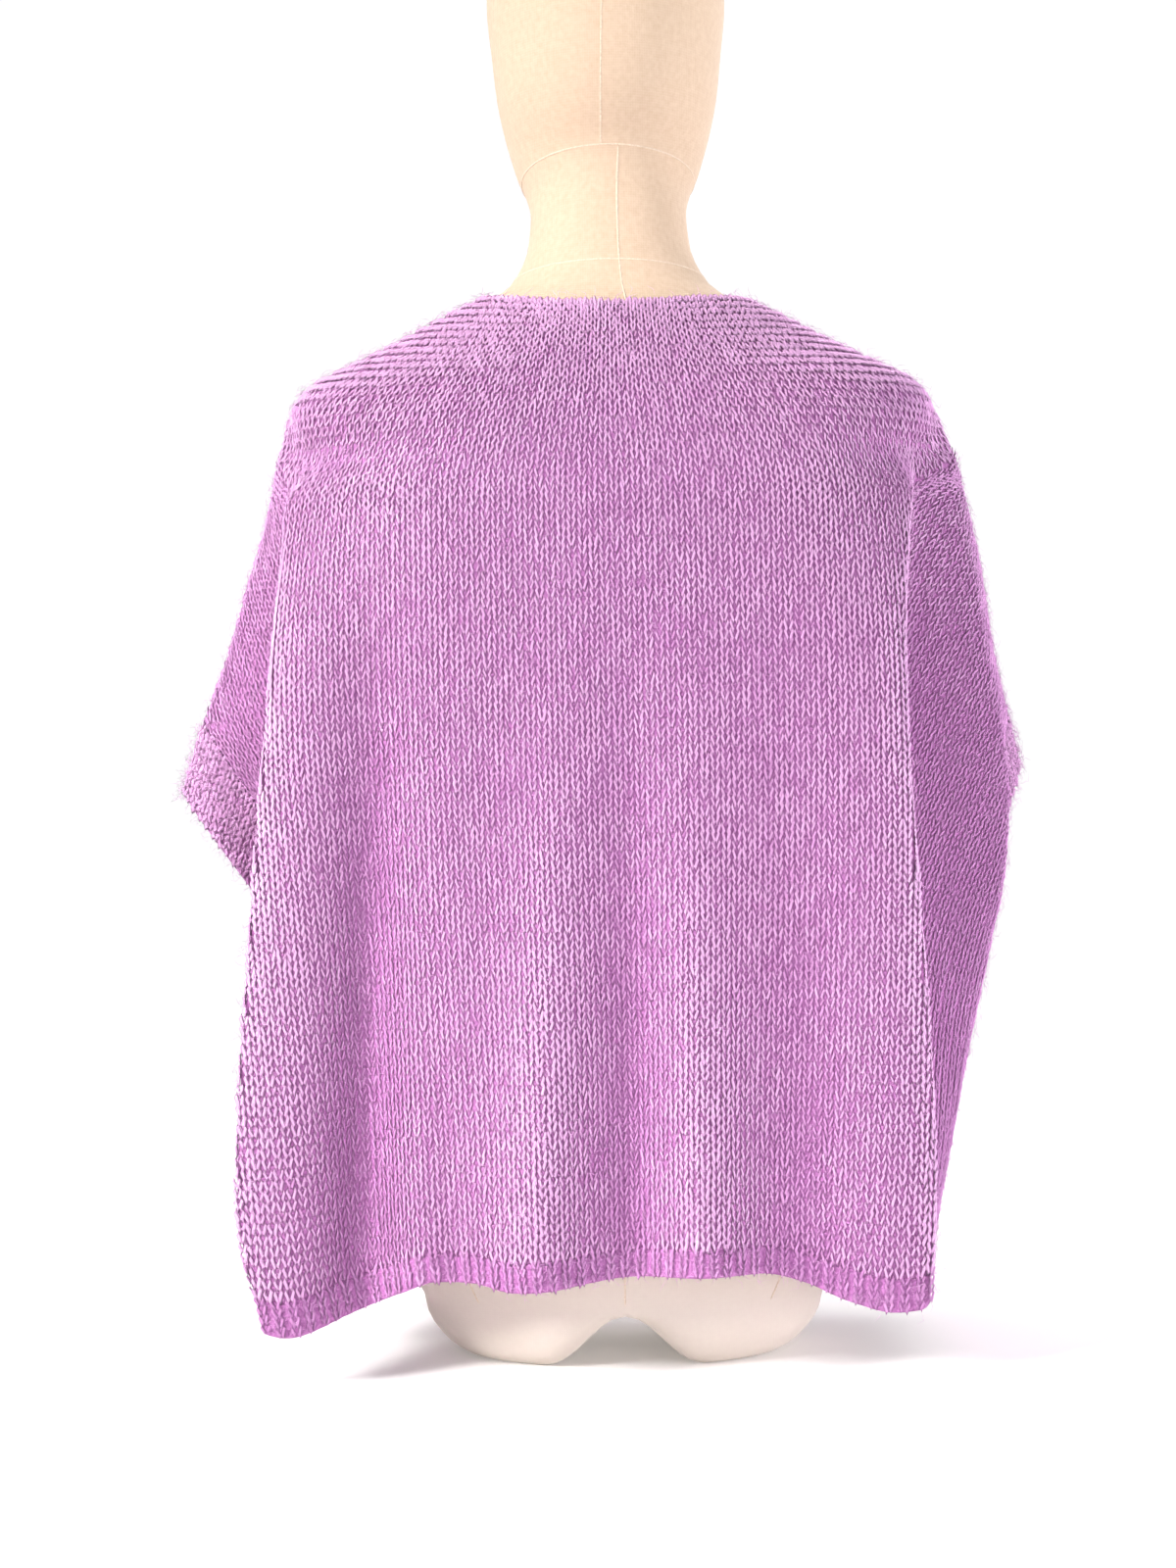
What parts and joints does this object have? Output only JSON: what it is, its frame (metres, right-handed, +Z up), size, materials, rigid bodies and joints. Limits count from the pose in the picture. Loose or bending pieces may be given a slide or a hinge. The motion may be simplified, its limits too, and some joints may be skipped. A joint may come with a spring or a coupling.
{
  "type": "sweater vest on a dress form",
  "caption": "Wide knitted sweater vest with winged shoulders and ribbed edges, hanging on a limbless dress form with a smooth head.",
  "frame": {"origin": "centre of the whole part's box seen from above, on the surface that the form stands on", "axes": "+Z up along the form; the wearer's back, which the picture shows, faces -Y; +X is the wearer's right"},
  "size_m": [0.577, 0.3114, 1.005],
  "materials": {
    "lilac_knit": "brushed mohair-type knit, matt with a soft halo",
    "lilac_rib": "brushed mohair-type ribbed knit, matt",
    "cream_linen": "plain woven linen cover, matt"
  },
  "bodies": {
    "root": {"back_panel": "lilac_knit", "front_panel": "lilac_knit", "hem_band_back": "lilac_rib", "hem_band_front": "lilac_rib", "sleeve_band_left": "lilac_rib", "sleeve_band_right": "lilac_rib", "dress_form": "cream_linen"}
  },
  "joints": []
}
